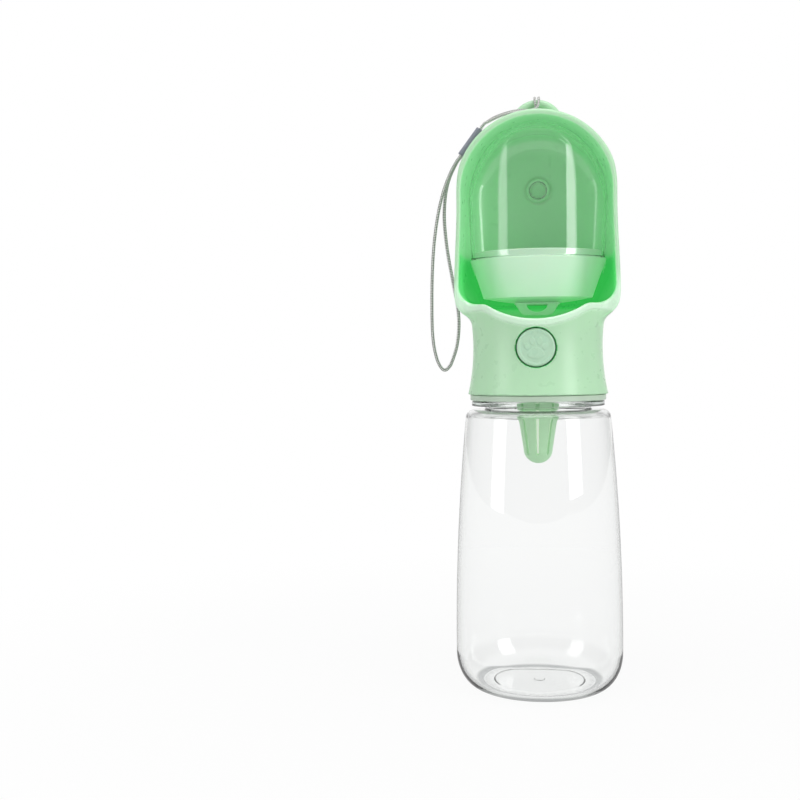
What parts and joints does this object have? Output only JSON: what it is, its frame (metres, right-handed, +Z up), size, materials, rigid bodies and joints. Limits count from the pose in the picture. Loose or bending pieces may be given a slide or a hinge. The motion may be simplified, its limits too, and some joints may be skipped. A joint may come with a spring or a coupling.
{
  "type": "dog travel water bottle",
  "caption": "Upright travel water bottle for a dog, with a press-button valve, a hooded drinking trough, a lidded food cup stored in the hood, a filter basket and a wrist lanyard.",
  "frame": {"origin": "middle of the ring on which the bottle stands, at the height of the surface under it", "axes": "+Z up along the bottle's axis; -Y is the front, where the push button and the hood's open side face; +X is to the right in a view of the front"},
  "size_m": [0.0858, 0.074, 0.2645],
  "materials": {
    "clear_bottle": "clear, gloss",
    "clear_cup": "clear, gloss",
    "mint_shell": "satin",
    "mint_button": "satin",
    "grey_green_cap": "satin",
    "pale_lid": "satin",
    "clear_tab": "translucent",
    "green_filter": "translucent, matt",
    "filter_cotton": "felted fibre",
    "natural_plastic": "matt",
    "white_silicone": "matt",
    "dark_rubber": "matt",
    "steel": "brushed",
    "grey_cord": "braided",
    "grey_ferrule": "satin"
  },
  "bodies": {
    "bottle": {"bottle_body": "clear_bottle"},
    "gasket": {"neck_gasket": "white_silicone"},
    "head": {"head_shell": "mint_shell", "inner_cap": "grey_green_cap", "inlet_seal": "white_silicone", "valve_housing": "natural_plastic", "valve_seat": "white_silicone", "outlet_grommet": "white_silicone", "rod_seal": "dark_rubber", "chamber_end_plug": "natural_plastic", "end_plug_seal": "dark_rubber", "lanyard_string": "grey_cord", "lanyard_ferrule": "grey_ferrule", "wrist_loop": "grey_cord"},
    "button": {"button_cap": "mint_button", "valve_rod": "steel", "valve_plug": "dark_rubber", "plug_retainer": "steel", "button_spring": "steel"},
    "filter": {"filter_collar": "green_filter", "filter_basket": "green_filter", "filter_core": "filter_cotton"},
    "food_cup": {"food_cup": "clear_cup"},
    "cup_lid": {"cup_lid": "pale_lid", "lid_seal": "white_silicone", "lid_tab": "clear_tab"}
  },
  "joints": [
    {"name": "head_lift", "type": "slide", "parent": "bottle", "child": "gasket", "axis": [0, 0, 1], "range_m": [0, 0.00751]},
    {"name": "head_turn", "type": "hinge", "parent": "gasket", "child": "head", "pos_m": [0, 0, 0], "axis": [0, 0, 1], "range_deg": [0, 540]},
    {"name": "button_press", "type": "slide", "parent": "head", "child": "button", "axis": [0, 1, 0], "range_m": [0, 0.0025], "stiffness_N_per_m": 300, "springref_m": -0.004, "deforming": ["button_spring"]},
    {"name": "filter_pull", "type": "slide", "parent": "head", "child": "filter", "axis": [0, 0, -1], "range_m": [0, 0.012]},
    {"name": "cup_draw", "type": "slide", "parent": "head", "child": "food_cup", "axis": [0, -1, 0], "range_m": [0, 0.06]},
    {"name": "lid_pull", "type": "slide", "parent": "food_cup", "child": "cup_lid", "axis": [0, 0, -1], "range_m": [0, 0.0039]}
  ],
  "couplings": [
    {"joint": "head_lift", "follows": "head_turn", "m_per_rad": 0.00079577}
  ]
}
